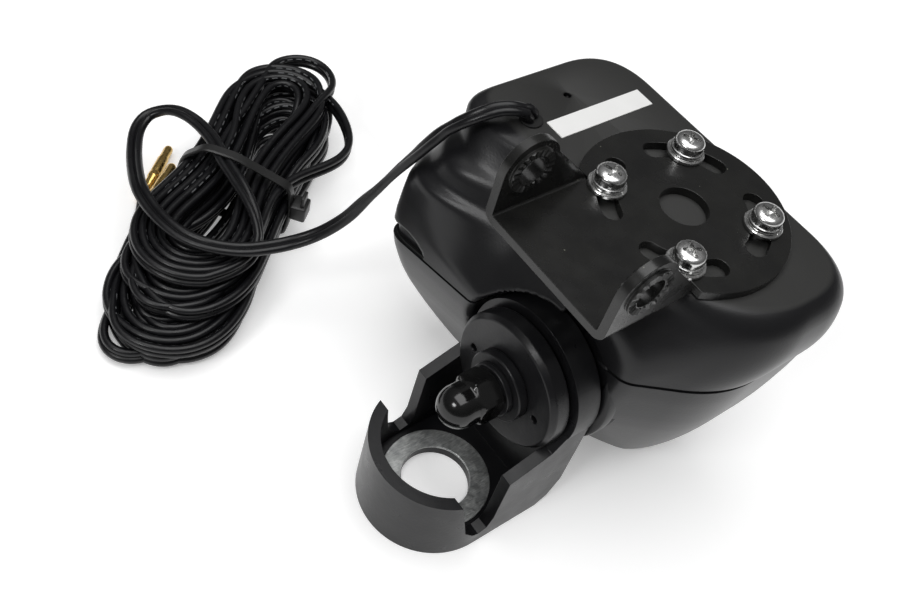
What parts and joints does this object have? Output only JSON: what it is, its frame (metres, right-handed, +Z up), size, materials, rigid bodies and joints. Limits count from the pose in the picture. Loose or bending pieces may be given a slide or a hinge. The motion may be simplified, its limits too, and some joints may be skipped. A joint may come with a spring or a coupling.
{
  "type": "motorized antenna mount",
  "caption": "Motor housing under a slotted swivel bracket that tilts a cast antenna holder by a worm drive, with its twin cord wound in a hank.",
  "frame": {"origin": "on the table, under the middle of the object without its cord", "axes": "+Z up out of the rear face that carries the bracket, -Y out of the shaft towards the antenna holder, +X the way the holder swings"},
  "size_m": [0.1636, 0.1174, 0.0867],
  "materials": {
    "shell_plastic": "fine textured black",
    "dark_plastic": "smooth black",
    "black_steel": "satin black",
    "cast_black": "semi-gloss black over die casting",
    "bare_zinc": "bare and scratched",
    "zinc_steel": "zinc plated",
    "bronze": "turned",
    "gear_plastic": "natural",
    "board_green": "coated",
    "white_label": "bare paper",
    "seal_rubber": "matt",
    "cord_black": "smooth sheath",
    "gold_brass": "gold plated"
  },
  "bodies": {
    "housing": {"rear_shell": "shell_plastic", "front_shell": "shell_plastic", "shell_gasket": "seal_rubber", "shell_screws": "zinc_steel", "gear_frame": "zinc_steel", "frame_screws": "zinc_steel", "motor_can": "zinc_steel", "motor_end_cap": "dark_plastic", "worm_bush": "bronze", "front_bush": "bronze", "inner_bush": "bronze", "shaft_seal": "seal_rubber", "control_board": "board_green", "limit_switches": "dark_plastic", "plain_washers": "zinc_steel", "spring_washers": "zinc_steel", "bracket_screws": "zinc_steel", "label_plate": "white_label", "cord_grommet": "seal_rubber", "cord_lead": "cord_black", "cord_hank": "cord_black", "cable_tie": "dark_plastic", "bullet_terminals": "gold_brass"},
    "output": {"output_shaft": "zinc_steel", "worm_wheel": "gear_plastic", "limit_cam": "gear_plastic", "antenna_holder": "cast_black", "contact_ring": "bare_zinc", "clamp_disc": "cast_black", "hub_washer": "black_steel", "hub_spring_washer": "black_steel", "cap_nut": "black_steel"},
    "worm": {"worm_shaft": "zinc_steel", "worm": "bronze"},
    "bracket": {"bracket_plate": "black_steel"}
  },
  "joints": [
    {"name": "holder_tilt", "type": "hinge", "parent": "housing", "child": "output", "pos_m": [0.0085, 0, 0.033], "axis": [0, -1, 0], "range_deg": [0, 90]},
    {"name": "worm_spin", "type": "hinge", "parent": "housing", "child": "worm", "pos_m": [0.0085, 0.0194, 0.0523], "axis": [1, 0, 0], "range_deg": [0, 2340]},
    {"name": "bracket_swivel", "type": "hinge", "parent": "housing", "child": "bracket", "pos_m": [0.0085, 0.0194, 0.0706], "axis": [0, 0, 1], "range_deg": [-25, 25]}
  ],
  "couplings": [
    {"joint": "holder_tilt", "follows": "worm_spin", "ratio": 0.038462}
  ]
}
